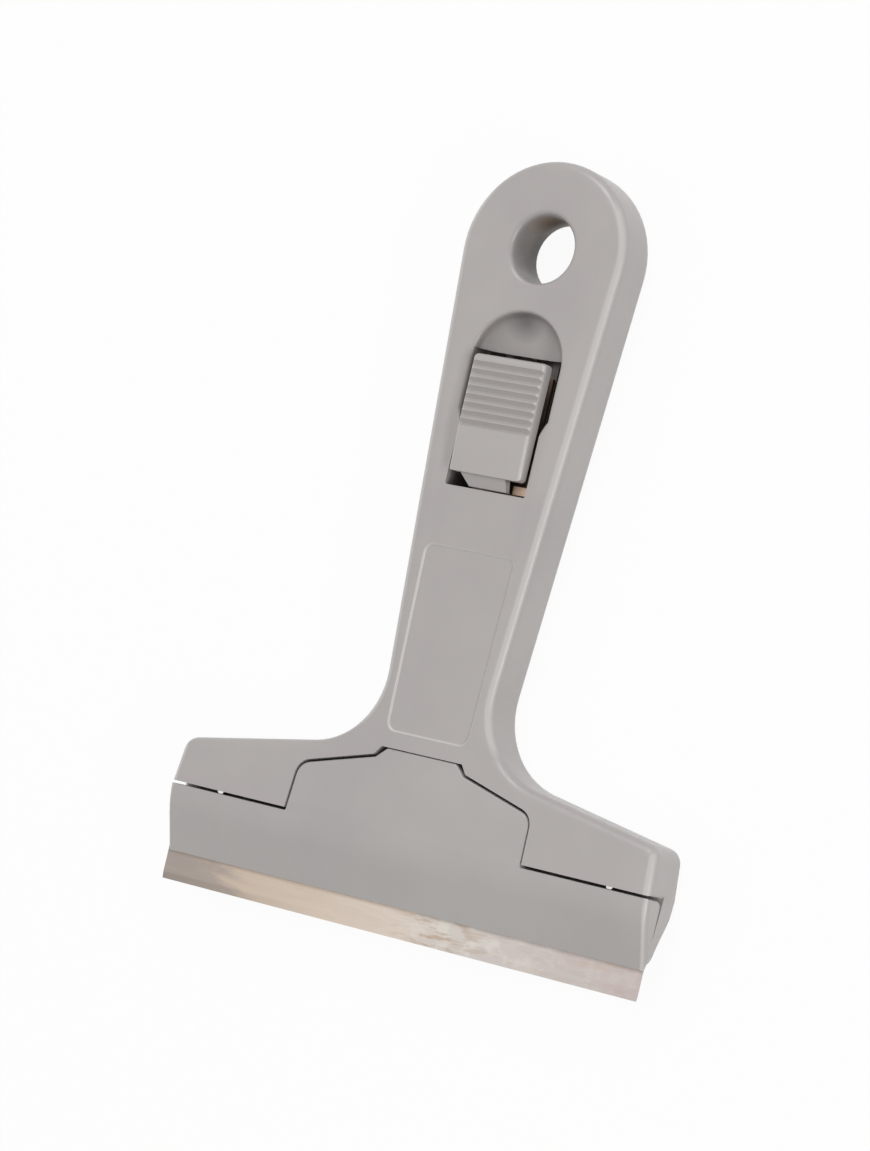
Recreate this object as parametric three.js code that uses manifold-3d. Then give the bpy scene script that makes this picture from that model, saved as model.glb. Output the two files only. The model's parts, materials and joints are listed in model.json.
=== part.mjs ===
// Window scraper: a moulded grip with a T shaped rocking jaw that clamps a wide steel blade.
// A spring loaded slide carries a steel strip whose ramp props the jaw shut. Drawing the slide
// back lowers the ramp, the jaw's tail sinks after it and the lip lifts off the blade.
// The tool lies on its back: X runs along the blade, Y up the grip and Z out of the front.
// All sizes are millimetres, and Y is counted from the cutting edge.

import * as THREE from 'three';
import { mergeVertices } from 'three/addons/utils/BufferGeometryUtils.js';
import Module from 'manifold-3d';

// Blade and the pins that it stops against
const bladeWidth = 99.9;
const bladeHeight = 16.9;
const bladeThickness = 0.5;
const bladeReach = 5.3;
const bladeShift = -0.3;
const bladeGrind = 1.2;
const bladeEdgeThickness = 0.1;
const bladeClearance = 0.1;
const stopPinRadius = 0.65;
const stopPinInset = 9.1;
const stopPinDepth = 2.3;
const stopPinRise = 2.4;

// Grip
const overallLength = 139.3;
const gripThickness = 10;
const gripTaper = 3.92;
const neckHalfWidth = 11.2;
const neckY = 42;
const neckFillet = 14.2;
const frontRound = 1.9;
const backRound = 2;
const hangHoleRadius = 6.15;
const hangHoleSetback = 16;
const hangHoleRound = 1.1;
const frontWall = 2.4;
const backWall = 2;

// Head
const wingTaper = 5;
const wingOverhang = 0.3;
const wingTopY = 25.9;
const wingRise = 10.1;
const wingCorner = 2.7;
const wingFootRound = 0.6;
const headCrest = 0.9;
const headLead = 2;
const seatZ = 5.5;
const backLipThickness = 0.6;
const backLipInset = 0.65;
const backSlopeLength = 15;
const backSlopeEase = 0.38;

// Jaw
const jawEndInset = 0.05;
const jawLipThickness = 0.6;
const jawEndRound = 1.3;
const jawShoulderCorner = 0.6;
const jawLipCorner = 0.6;
const jawEdgeRound = 0.4;
const jawSlope = 23;
const crestRadius = 16;
const shoulderLead = 0.25;
const shoulderHalfWidth = 24.6;
const shoulderTopHalfWidth = 24.2;
const shoulderTopY = 26;
const shoulderCorner = 2.8;
const tongueRootHalfWidth = 9.2;
const tongueRootY = 30.1;
const tongueHalfWidth = 7.2;
const tongueTopY = 32;
const heelRadius = 1.4;
const corePocketCount = 6;
const corePocketWall = 1.5;
const coreRib = 1.6;

// Gaps that let the jaw rock
const rockGap = 0.5;
const sideGap = 0.3;
const shoulderGap = 0.4;
const tongueSideGap = 1.2;
const tongueTopGap = 0.35;
const tongueSeam = 0.12;
const tongueSeamDepth = 0.5;

// Jaw pivot
const pivotRise = 1;
const pivotSetback = 2.7;
const pivotRadius = 1.2;
const pivotLength = 11;
const pivotClearance = 0.05;
const pivotBossWidth = 7.2;
const pivotBossWall = 0.9;

// Slide strip, the jaw's tail on its ramp, and the return spring
const slideTravel = 4;
const runClearance = 0.3;
const stripHalfWidth = 5.6;
const stripThickness = 0.8;
const stripRise = 2.1;
const stripToe = 4;
const rampLead = 1;
const rampSlope = 0.3;
const stripSetback = 1.6;
const lugRise = 2.8;
const lugReach = 1.5;
const lugWidth = 1.6;
const lugGap = 0.4;
const tailHalfWidth = 5.2;
const tailGap = 0.35;
const tailContact = 1.4;
const springWire = 0.46;
const springRadius = 1.27;
const springTurns = 10;
const springLength = 12.8;
const springGap = 0.15;
const springTabHalfWidth = 1;

// Button
const buttonHalfWidth = 7.45;
const buttonSeam = 1.25;
const buttonLength = 21.1;
const buttonProud = 1.7;
const buttonThickness = 2.2;
const buttonSwell = 0.35;
const buttonSlant = 8.3;
const buttonBreak = 0.9;
const buttonFall = 0.2;
const buttonBlend = 20;
const buttonRound = 0.8;
const buttonCorner = 0.8;
const ribCount = 8;
const ribPitch = 1.5;
const ribMargin = 2;
const ribRadius = 0.66;
const ribDepth = 0.58;
const noseRight = 4.2;
const noseLeft = 5.2;
const noseLeftTaper = 1.7;
const noseLength = 2.15;
const noseGap = 0.35;
const noseThickness = 1.2;
const noseDrop = 1.2;
const stemHalfWidth = 4.2;
const stemLength = 15.5;
const stemInset = 2;
const studHalfWidth = 2;
const studHalfLength = 1.2;
const studPitch = 10;
const studHeadRim = 0.6;
const studHeadThickness = 1;
const studClearance = 0.2;

// Window and thumb scoop
const windowY = 79.5;
const windowHalfWidth = 8.28;
const windowDepth = 4.6;
const windowCorner = 0.3;
const scoopHalfWidth = 9.1;
const scoopLength = 19.7;
const scoopLead = 1.3;
const scoopReach = 7.35;
const scoopDepth = 3.5;
const scoopRise = 0.05;
const scoopBowlWidth = 6;
const scoopBowlDepth = 2.4;
const scoopRim = 0.7;
const scoopBlend = 2;

// Label field
const labelBottomHalfWidth = 8.55;
const labelTopHalfWidth = 9.45;
const labelLength = 34;
const labelCorner = 2;
const labelDepth = 0.35;
const labelMargin = 1;

// Facets
const chordError = 0.02;
const roundSteps = 6;
const pinSides = 16;
const springSteps = 8;
const springSides = 5;
const joinTolerance = 1e-5;
const beyond = 20;

// Places worked out from the sizes above
const headHalfWidth = bladeWidth / 2 + wingOverhang;
const jawHalfWidth = headHalfWidth - jawEndInset;
const stopPinX = bladeWidth / 2 - stopPinInset;
const stopPinY = bladeHeight + bladeClearance + stopPinRadius;
const shoulderY = bladeHeight + bladeClearance + shoulderLead;
const wingBottomY = shoulderY + rockGap;
const headBreakY = tongueTopY + headLead;
const headTilt = headCrest / (headBreakY - wingBottomY);
const bladeZ = seatZ + bladeClearance;
const jawUnderZ = bladeZ + bladeThickness + bladeClearance;
const pivotY = shoulderY + pivotSetback;
const pivotZ = seatZ + pivotRise;
const channelTop = gripThickness - frontWall;
const channelHalfWidth = stripHalfWidth + runClearance;
const toeZ = backWall + runClearance;
const stripZ = toeZ + stripRise;
const stripTop = stripZ + stripThickness;
const ledgeZ = stripZ - runClearance;
const rampStartY = tongueTopY + rampLead;
const rampEndY = rampStartY + stripRise / rampSlope;
const buttonY = windowY + noseGap + noseLength;
const buttonEndY = buttonY + buttonLength;
const windowTopY = buttonEndY + buttonSeam;
const scoopTopY = windowTopY + scoopReach;
const scoopStartY = scoopTopY - scoopLength;
const stripEndY = buttonEndY - stripSetback;
const buttonTopZ = gripThickness + buttonProud;
const buttonUnderZ = buttonTopZ - buttonThickness;
const studY = [buttonY + stemInset + stemLength / 2 - studPitch / 2,
  buttonY + stemInset + stemLength / 2 + studPitch / 2];
const springZ = ledgeZ;
const springBore = springRadius + springWire / 2 + runClearance;
const springEndY = stripEndY + springLength + 2 * springGap;
const gripLean = Math.tan(THREE.MathUtils.degToRad(gripTaper));
const gripTopHalfWidth = neckHalfWidth + gripLean * (overallLength - neckY);
const gripTopRadius = gripTopHalfWidth * Math.tan(THREE.MathUtils.degToRad(90 - gripTaper) / 2);
const hangHoleY = overallLength - hangHoleSetback;

const wasm = await Module();
wasm.setup();

function tangent(angle) {
  return Math.tan(THREE.MathUtils.degToRad(angle));
}

// The front face is level along the grip and rises towards the jaw across the head.
function headFront(y) {
  return gripThickness + headTilt * (headBreakY - y);
}

function arcSteps(radius, sweep) {
  const step = 2 * Math.acos(1 - Math.min(chordError / radius, 0.5));
  return Math.max(2, Math.ceil(Math.abs(sweep) / step));
}

// A closed outline from corners [x, y, radius], each rounded by an arc that touches both sides.
function roundedOutline(corners) {
  const outline = [];
  corners.forEach(([x, y, radius], index) => {
    const corner = new THREE.Vector2(x, y);
    if (!radius) {
      outline.push(corner);
      return;
    }
    const [backX, backY] = corners.at(index - 1);
    const [nextX, nextY] = corners[(index + 1) % corners.length];
    const back = new THREE.Vector2(backX - x, backY - y).normalize();
    const next = new THREE.Vector2(nextX - x, nextY - y).normalize();
    const half = Math.acos(THREE.MathUtils.clamp(back.dot(next), -1, 1)) / 2;
    const bisector = back.clone().add(next).normalize();
    const centre = corner.clone().addScaledVector(bisector, radius / Math.sin(half));
    const start = corner.clone().addScaledVector(back, radius / Math.tan(half)).sub(centre);
    const turn = Math.sign(next.cross(back)) * (Math.PI - 2 * half);
    const steps = arcSteps(radius, turn);
    for (let step = 0; step <= steps; step += 1) {
      const spoke = start.clone().rotateAround(new THREE.Vector2(), (turn * step) / steps);
      outline.push(centre.clone().add(spoke));
    }
  });
  return outline.filter((point, index) => point.distanceTo(outline.at(index - 1)) > 10 * joinTolerance);
}

// Completes a right half, drawn upwards, with its mirror image.
function mirrored(right) {
  const left = right.map(([x, y, radius]) => [-x, y, radius]);
  return roundedOutline([...right, ...left.reverse()]);
}

function circleOutline(radius, y) {
  const sides = 2 * arcSteps(radius, Math.PI);
  return Array.from({ length: sides }, (_, side) => {
    const angle = (2 * Math.PI * side) / sides;
    return new THREE.Vector2(radius * Math.cos(angle), y + radius * Math.sin(angle));
  });
}

// Moves every side of an outline inwards by the same distance.
function insetOutline(outline, distance) {
  return outline.map((point, index) => {
    const before = point.clone().sub(outline.at(index - 1)).normalize();
    const after = outline[(index + 1) % outline.length].clone().sub(point).normalize();
    const inwards = new THREE.Vector2(-before.y - after.y, before.x + after.x);
    return point.clone().addScaledVector(inwards, distance / (1 + before.dot(after)));
  });
}

// Stacks an outline in rings [inset, height], where a height may depend on the point's y.
function loft(outline, rings) {
  const count = outline.length;
  const positions = [];
  const faces = [];
  rings.forEach(([inset, height]) => {
    insetOutline(outline, inset).forEach(({ x, y }) => {
      positions.push(x, y, typeof height === 'function' ? height(y) : height);
    });
  });
  for (let ring = 0; ring + 1 < rings.length; ring += 1) {
    for (let index = 0; index < count; index += 1) {
      const a = ring * count + index;
      const b = ring * count + ((index + 1) % count);
      faces.push(a, b, b + count, a, b + count, a + count);
    }
  }
  const last = (rings.length - 1) * count;
  const cap = ([inset]) => THREE.ShapeUtils.triangulateShape(insetOutline(outline, inset), []);
  cap(rings[0]).forEach(([a, b, c]) => faces.push(a, c, b));
  cap(rings.at(-1)).forEach(([a, b, c]) => faces.push(last + a, last + b, last + c));
  const geometry = new THREE.BufferGeometry();
  geometry.setAttribute('position', new THREE.Float32BufferAttribute(positions, 3));
  geometry.setIndex(faces);
  return geometry;
}

// Rings of a quarter round at the lower rim, at the upper rim, and of a flared mouth.
function lowerRound(radius, height) {
  return Array.from({ length: roundSteps + 1 }, (_, step) => {
    const angle = (Math.PI / 2) * (step / roundSteps);
    return [radius * (1 - Math.sin(angle)), height + radius * (1 - Math.cos(angle))];
  });
}

function upperRound(radius, heightAt) {
  return lowerRound(radius, 0).reverse().map(([inset, drop]) => [inset, (y) => heightAt(y) - drop]);
}

function mouth(radius, height) {
  return lowerRound(radius, 0).reverse().map(([inset, drop]) => [-inset, height - drop]);
}

function solid(geometry) {
  const bare = geometry.clone();
  bare.deleteAttribute('normal');
  bare.deleteAttribute('uv');
  const merged = mergeVertices(bare, joinTolerance);
  return new wasm.Manifold(new wasm.Mesh({
    numProp: 3,
    vertProperties: new Float32Array(merged.attributes.position.array),
    triVerts: new Uint32Array(merged.index.array),
  }));
}

function stacked(outline, rings) {
  return solid(loft(outline, rings));
}

function prism(outline, low, high) {
  return stacked(outline, [[0, low], [0, high]]);
}

// Lays a profile drawn in (y, z) along X.
const profileAxes = new THREE.Matrix4().makeBasis(
  new THREE.Vector3(0, 1, 0),
  new THREE.Vector3(0, 0, 1),
  new THREE.Vector3(1, 0, 0),
);

function alongX(profile, rings) {
  return solid(loft(profile, rings).applyMatrix4(profileAxes));
}

function bar(profile, low, high) {
  return alongX(profile, [[0, low], [0, high]]);
}

function box([x0, x1], [y0, y1], [z0, z1]) {
  const geometry = new THREE.BoxGeometry(x1 - x0, y1 - y0, z1 - z0);
  return solid(geometry.translate((x0 + x1) / 2, (y0 + y1) / 2, (z0 + z1) / 2));
}

function rodX(radius, length, x, y, z) {
  const geometry = new THREE.CylinderGeometry(radius, radius, length, pinSides);
  return solid(geometry.rotateZ(Math.PI / 2).translate(x, y, z));
}

function rodY(radius, [y0, y1], z) {
  const geometry = new THREE.CylinderGeometry(radius, radius, y1 - y0, pinSides);
  return solid(geometry.translate(0, (y0 + y1) / 2, z));
}

function rodZ(radius, x, y, [z0, z1]) {
  const geometry = new THREE.CylinderGeometry(radius, radius, z1 - z0, pinSides);
  return solid(geometry.rotateX(Math.PI / 2).translate(x, y, (z0 + z1) / 2));
}

// Where two lines meet, each given by a point and a direction.
function meet([px, py], [dx, dy], [qx, qy], [ex, ey]) {
  const along = ((qx - px) * ey - (qy - py) * ex) / (dx * ey - dy * ex);
  return [px + along * dx, py + along * dy];
}

// Handle: the grip, both wings and the fixed rear jaw in one moulding
function handleShell() {
  const wingEnd = [headHalfWidth - tangent(wingTaper) * (wingTopY - wingBottomY), wingTopY];
  const neck = meet(wingEnd, [-1, tangent(wingRise)], [neckHalfWidth, neckY], [gripLean, 1]);
  const outline = mirrored([
    [headHalfWidth - backLipInset, bladeReach, wingCorner],
    [headHalfWidth, wingBottomY, wingCorner],
    [...wingEnd, wingCorner],
    [...neck, neckFillet],
    [gripTopHalfWidth, overallLength, gripTopRadius],
  ]);
  const back = lowerRound(backRound, 0);
  const level = stacked(outline, [...back, ...upperRound(frontRound, () => gripThickness)]);
  const tilted = stacked(outline, [...back, ...upperRound(frontRound, headFront)]);
  const wide = [-headHalfWidth - beyond, headHalfWidth + beyond];
  const deep = [-beyond, gripThickness + beyond];
  const grip = level.intersect(box(wide, [headBreakY, overallLength + beyond], deep));
  const head = tilted.intersect(box(wide, [-beyond, headBreakY], deep));
  return grip.add(head);
}

// Clears the blade seat in front of the rear jaw, with a round inner corner.
function seatCut() {
  const profile = roundedOutline([
    [-beyond, seatZ, 0],
    [wingBottomY, seatZ, wingBottomY - bladeHeight - bladeClearance],
    [wingBottomY, gripThickness + beyond, 0],
    [-beyond, gripThickness + beyond, 0],
  ]);
  return bar(profile, -headHalfWidth - beyond, headHalfWidth + beyond);
}

// Takes off the sharp lower corner of a wing's end.
function wingFootCut(side) {
  const round = wingFootRound;
  const centreX = headHalfWidth - round - round * tangent(wingTaper);
  const ends = [side * centreX, side * (headHalfWidth + round)];
  const across = [Math.min(...ends), Math.max(...ends)];
  const high = [seatZ, gripThickness + beyond];
  return box(across, [wingBottomY - round, wingBottomY + round], high)
    .subtract(rodZ(round, side * centreX, wingBottomY + round, [seatZ - round, high[1] + round]));
}

// Sweeps the back of the head up to a thin lip behind the blade.
function backCut() {
  const lipZ = seatZ - backLipThickness;
  const startY = bladeReach + backSlopeLength;
  const pull = backSlopeLength * backSlopeEase;
  const sweep = new THREE.CubicBezierCurve(
    new THREE.Vector2(startY, 0),
    new THREE.Vector2(startY - pull, 0),
    new THREE.Vector2(bladeReach + pull, lipZ),
    new THREE.Vector2(0, lipZ),
  );
  const profile = [
    new THREE.Vector2(0, -beyond),
    new THREE.Vector2(startY, -beyond),
    ...sweep.getPoints(3 * roundSteps),
  ];
  return bar(profile, -headHalfWidth - beyond, headHalfWidth + beyond);
}

// The opening that the jaw's shoulders and tongue lie in, closed to a fine seam over the tongue.
function jawOpening() {
  const outline = (topGap) => mirrored([
    [shoulderHalfWidth + sideGap, shoulderY + sideGap, 0],
    [shoulderTopHalfWidth + sideGap, shoulderTopY + shoulderGap, shoulderCorner + sideGap],
    [tongueRootHalfWidth + shoulderGap, tongueRootY + shoulderGap, shoulderGap],
    [tongueHalfWidth + tongueSideGap, tongueTopY + topGap, topGap],
  ]);
  return prism(outline(tongueSeam), backWall, gripThickness + beyond)
    .add(prism(outline(tongueTopGap), backWall, gripThickness - tongueSeamDepth));
}

// The hollow of the grip: a deep pocket under the jaw's tail, then a run with a ledge for the
// strip, a trench for the button's studs and a bore for the spring.
function channel() {
  const across = [-channelHalfWidth, channelHalfWidth];
  const trench = [-stemHalfWidth, stemHalfWidth];
  const pocketEndY = rampEndY + slideTravel + runClearance;
  const runEndY = stripEndY + slideTravel + runClearance;
  const overStrip = stripTop + runClearance;
  const trenchZ = ledgeZ - studHeadThickness - studClearance - runClearance;
  return box(across, [rampStartY - stripToe, pocketEndY], [backWall, channelTop])
    .add(box(across, [pocketEndY, windowY + noseGap], [ledgeZ, channelTop]))
    .add(box(across, [windowY, runEndY], [ledgeZ, overStrip]))
    .add(box(trench, [buttonY, runEndY], [trenchZ, overStrip]))
    .add(rodY(springBore, [stripEndY - stripThickness - runClearance, springEndY], springZ));
}

// The button's window, with a deep well on each side of the strip.
function windowCut() {
  const outline = mirrored([
    [windowHalfWidth, windowY, windowCorner],
    [windowHalfWidth, scoopStartY - scoopLead, scoopBlend],
    [scoopHalfWidth, scoopStartY + scoopLead, scoopBlend],
    [scoopHalfWidth, windowTopY, 0],
  ]);
  const floorZ = gripThickness - windowDepth;
  const along = [windowY, windowTopY];
  const deep = [backWall, floorZ + runClearance];
  return prism(outline, floorZ, gripThickness + beyond)
    .add(box([-windowHalfWidth, -stripHalfWidth], along, deep))
    .add(box([stripHalfWidth, windowHalfWidth], along, deep));
}

// The thumb scoop: a soft rim around a bowl with an elliptic section.
function scoopCut() {
  const sides = [
    [scoopHalfWidth, scoopStartY + scoopLead, 0],
    [scoopHalfWidth, scoopTopY, scoopHalfWidth],
  ];
  const lead = [windowHalfWidth - scoopRim, scoopStartY - scoopLead, 0];
  const highZ = gripThickness + beyond;
  const floor = (y) => gripThickness - scoopDepth + scoopRise * (y - windowTopY);
  const bowl = lowerRound(1, 0).map(([inset, rise]) => (
    [scoopBowlWidth * inset, (y) => floor(y) + scoopBowlDepth * rise]
  ));
  const rim = [...mouth(scoopRim, gripThickness), [-scoopRim, highZ]];
  return stacked(mirrored(sides), [...bowl, [0, highZ]]).add(stacked(mirrored([lead, ...sides]), rim));
}

function labelCut() {
  const low = headBreakY + labelMargin;
  const outline = mirrored([
    [labelBottomHalfWidth, low, labelCorner],
    [labelTopHalfWidth, low + labelLength, labelCorner],
  ]);
  const floor = gripThickness - labelDepth;
  return stacked(outline, [[labelDepth, floor], [-labelDepth, floor + 2 * labelDepth]]);
}

function hangHole() {
  const back = lowerRound(hangHoleRound, 0).map(([inset, height]) => [-inset, height]);
  return stacked(circleOutline(hangHoleRadius, hangHoleY), [
    [-hangHoleRound, -beyond],
    ...back,
    ...mouth(hangHoleRound, gripThickness),
    [-hangHoleRound, gripThickness + beyond],
  ]);
}

function makeHandle() {
  const cuts = [
    seatCut(), backCut(), jawOpening(), channel(), windowCut(), scoopCut(), labelCut(), hangHole(),
  ];
  const socketLength = pivotLength + 2 * runClearance;
  const pinHole = [seatZ - stopPinDepth - pivotClearance, seatZ + stopPinRise + runClearance];
  for (const side of [-1, 1]) {
    const pivotX = side * shoulderHalfWidth;
    cuts.push(rodX(pivotRadius + pivotClearance, socketLength, pivotX, pivotY, pivotZ));
    cuts.push(rodZ(stopPinRadius + pivotClearance, side * stopPinX, stopPinY, pinHole));
    cuts.push(wingFootCut(side));
  }
  return cuts.reduce((body, cut) => body.subtract(cut), handleShell());
}

// Jaw: a wedge across the whole blade whose shoulders and tongue reach up into the handle
function jawFront() {
  const lipZ = jawUnderZ + jawLipThickness;
  const rise = tangent(jawSlope);
  const crest = meet([bladeReach, lipZ], [1, rise], [headBreakY, gripThickness], [-1, headTilt]);
  const farY = tongueTopY + beyond;
  const profile = roundedOutline([
    [0, -beyond, 0],
    [farY, -beyond, 0],
    [farY, headFront(farY), 0],
    [...crest, crestRadius],
    [0, lipZ - rise * bladeReach, 0],
  ]);
  return alongX(profile, [
    ...lowerRound(jawEndRound, -jawHalfWidth),
    ...upperRound(jawEndRound, () => jawHalfWidth),
  ]);
}

function jawPlate() {
  const outline = mirrored([
    [jawHalfWidth, bladeReach, jawLipCorner],
    [jawHalfWidth, shoulderY, jawShoulderCorner],
    [shoulderHalfWidth, shoulderY, sideGap],
    [shoulderTopHalfWidth, shoulderTopY, shoulderCorner],
    [tongueRootHalfWidth, tongueRootY, shoulderGap],
    [tongueHalfWidth, tongueTopY, 2 * jawEdgeRound],
  ]);
  return stacked(outline, [[0, jawUnderZ], ...upperRound(jawEdgeRound, headFront)]);
}

// The tail under the tongue, whose end lies on the strip's ramp.
function jawTail() {
  const contactY = rampEndY - tailContact;
  const endZ = stripTop + tailGap;
  const underZ = endZ - rampSlope * tailContact;
  const topZ = channelTop - runClearance;
  const rootY = tongueRootY - tailContact;
  const profile = roundedOutline([
    [rootY, underZ, 0],
    [contactY, underZ, 0],
    [rampEndY, endZ, 0],
    [rampEndY, topZ, jawEdgeRound],
    [rootY, topZ, 0],
  ]);
  return bar(profile, -tailHalfWidth, tailHalfWidth);
}

// Rounds the heel that rolls in the corner of the blade seat.
function heelCut() {
  const arc = new THREE.EllipseCurve(
    shoulderY - heelRadius, jawUnderZ + heelRadius, heelRadius, heelRadius, -Math.PI / 2, 0,
  );
  const outer = shoulderY + rockGap / 2;
  return [
    ...arc.getPoints(roundSteps).reverse(),
    new THREE.Vector2(shoulderY - heelRadius, jawUnderZ - rockGap),
    new THREE.Vector2(outer, jawUnderZ - rockGap),
    new THREE.Vector2(outer, jawUnderZ + heelRadius),
  ];
}

// Moulded hollows behind the sloping front, with ribs left between them.
function corePocket(low, high) {
  const frontAt = (y) => jawUnderZ + jawLipThickness + tangent(jawSlope) * (y - bladeReach);
  const startY = bladeReach + (corePocketWall + jawLipThickness) / tangent(jawSlope) / 2;
  const endY = shoulderY - heelRadius - corePocketWall / 2;
  const drop = corePocketWall / Math.cos(THREE.MathUtils.degToRad(jawSlope));
  const profile = [
    new THREE.Vector2(startY, jawUnderZ - drop),
    new THREE.Vector2(endY, jawUnderZ - drop),
    new THREE.Vector2(endY, frontAt(endY) - drop),
    new THREE.Vector2(startY, frontAt(startY) - drop),
  ];
  return bar(profile, low, high);
}

function makeJaw() {
  let jaw = jawPlate().intersect(jawFront()).add(jawTail());
  const bossX = shoulderTopHalfWidth - pivotBossWidth / 2;
  const cuts = [];
  for (const side of [-1, 1]) {
    const boss = rodX(pivotRadius + pivotBossWall, pivotBossWidth, side * bossX, pivotY, pivotZ);
    jaw = jaw.add(boss);
    const ends = [side * (shoulderHalfWidth + sideGap), side * (jawHalfWidth + beyond)];
    cuts.push(bar(heelCut(), Math.min(...ends), Math.max(...ends)));
    const boreX = side * shoulderHalfWidth;
    const boreLength = pivotLength + 2 * runClearance;
    cuts.push(rodX(pivotRadius + pivotClearance, boreLength, boreX, pivotY, pivotZ));
    const relief = [jawUnderZ - rockGap, seatZ + stopPinRise + 2 * runClearance];
    cuts.push(rodZ(stopPinRadius + 2 * runClearance, side * stopPinX, stopPinY, relief));
  }
  const span = 2 * (jawHalfWidth - 2 * jawEndRound);
  const pitch = span / corePocketCount;
  for (let index = 0; index < corePocketCount; index += 1) {
    const low = -span / 2 + index * pitch + coreRib / 2;
    cuts.push(corePocket(low, low + pitch - coreRib));
  }
  return cuts.reduce((body, cut) => body.subtract(cut), jaw);
}

// Blade: a flat strip of steel ground to an edge from both sides
function makeBlade() {
  const middle = bladeZ + bladeThickness / 2;
  const profile = [
    [0, middle - bladeEdgeThickness / 2],
    [bladeGrind, bladeZ],
    [bladeHeight, bladeZ],
    [bladeHeight, bladeZ + bladeThickness],
    [bladeGrind, bladeZ + bladeThickness],
    [0, middle + bladeEdgeThickness / 2],
  ].map(([y, z]) => new THREE.Vector2(y, z));
  return bar(profile, bladeShift - bladeWidth / 2, bladeShift + bladeWidth / 2);
}

// Button: a swelling ribbed pad with a nose below it and a stem whose studs grip the strip
function buttonPad() {
  const crestZ = buttonTopZ + buttonSwell;
  const outline = mirrored([
    [buttonHalfWidth, buttonY, buttonCorner],
    [buttonHalfWidth, buttonEndY, buttonCorner],
  ]);
  const profile = roundedOutline([
    [buttonY - buttonRound, buttonUnderZ - buttonRound, 0],
    [buttonEndY, buttonUnderZ - buttonRound, 0],
    [buttonEndY, crestZ, buttonBreak],
    [buttonY + buttonSlant, crestZ, buttonBlend],
    [buttonY - buttonRound, buttonTopZ - buttonFall, 0],
  ]);
  const swell = alongX(profile, [
    ...lowerRound(buttonRound, -buttonHalfWidth),
    ...upperRound(buttonRound, () => buttonHalfWidth),
  ]);
  const grooveZ = crestZ - ribDepth + ribRadius;
  let pad = prism(outline, buttonUnderZ, crestZ + buttonRound).intersect(swell);
  for (let rib = 0; rib < ribCount; rib += 1) {
    const grooveY = buttonEndY - ribMargin - rib * ribPitch;
    pad = pad.subtract(rodX(ribRadius, 2 * buttonHalfWidth + beyond, 0, grooveY, grooveZ));
  }
  return pad;
}

function buttonNose() {
  const frontZ = buttonTopZ - buttonRound;
  const endY = windowY + noseGap;
  const rootY = buttonY + buttonCorner;
  const profile = [
    [endY, frontZ - noseThickness - noseDrop],
    [rootY, buttonUnderZ],
    [rootY, frontZ],
    [buttonY, frontZ],
    [endY, frontZ - noseDrop],
  ].map(([y, z]) => new THREE.Vector2(y, z));
  const outline = roundedOutline([
    [noseLeftTaper - noseLeft, endY, 0],
    [noseRight, endY, 0],
    [noseRight, rootY, 0],
    [-noseLeft, rootY, 0],
    [-noseLeft, buttonY, noseLength / 2],
  ]);
  return bar(profile, -noseLeft, noseRight).intersect(prism(outline, 0, buttonTopZ));
}

function buttonStud(y) {
  const headHigh = stripZ - studClearance;
  const headLow = headHigh - studHeadThickness;
  const shankHigh = stripTop + 2 * studClearance;
  const rimX = studHalfWidth + studHeadRim;
  const rimY = studHalfLength + studHeadRim;
  const shankY = [y - studHalfLength, y + studHalfLength];
  return box([-studHalfWidth, studHalfWidth], shankY, [headLow, shankHigh])
    .add(box([-rimX, rimX], [y - rimY, y + rimY], [headLow, headHigh]));
}

function makeButton() {
  const stemY = [buttonY + stemInset, buttonY + stemInset + stemLength];
  const stemZ = [stripTop + studClearance, buttonUnderZ + buttonRound];
  const stem = box([-stemHalfWidth, stemHalfWidth], stemY, stemZ);
  const pieces = [buttonNose(), stem, ...studY.map(buttonStud)];
  return pieces.reduce((body, piece) => body.add(piece), buttonPad());
}

// The strip's lug, bent up at its right edge and folded outwards beside the button's nose
function stripLug() {
  const lugY = [windowY + lugGap, windowY + lugGap + lugWidth];
  const topZ = stripTop + lugRise;
  const innerX = stripHalfWidth - stripThickness;
  return box([innerX, stripHalfWidth], lugY, [stripZ, topZ])
    .add(box([noseRight + studClearance, stripHalfWidth + lugReach], lugY, [topZ - stripThickness, topZ]));
}

// Strip: flat steel under the button, cranked down to a ramp and a toe below the jaw's tail
function makeStrip() {
  const run = [
    [rampStartY - stripToe, toeZ],
    [rampStartY, toeZ],
    [rampEndY, stripZ],
    [stripEndY, stripZ],
  ];
  const upper = run.map(([y, z]) => [y, z + stripThickness]).reverse();
  const profile = [...run, ...upper].map(([y, z]) => new THREE.Vector2(y, z));
  const tabFoot = springZ - springRadius;
  const tab = box(
    [-springTabHalfWidth, springTabHalfWidth],
    [stripEndY - stripThickness, stripEndY],
    [tabFoot, stripTop],
  );
  let strip = bar(profile, -stripHalfWidth, stripHalfWidth).add(tab).add(stripLug());
  studY.forEach((y) => {
    const across = studHalfWidth + studClearance;
    const along = studHalfLength + studClearance;
    strip = strip.subtract(box([-across, across], [y - along, y + along], [toeZ, channelTop]));
  });
  return strip;
}

// Spring: one wound wire between the strip's tab and the end of the bore
function springPoint(step, side) {
  const turn = (2 * Math.PI * step) / springSteps;
  const around = (2 * Math.PI * side) / springSides;
  const wire = springWire / 2;
  const advance = (springLength - springWire) / (springTurns * springSteps);
  const out = springRadius + wire * Math.cos(around);
  const y = stripEndY + springGap + wire + advance * step + wire * Math.sin(around);
  return new THREE.Vector3(out * Math.cos(turn), y, springZ + out * Math.sin(turn));
}

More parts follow.
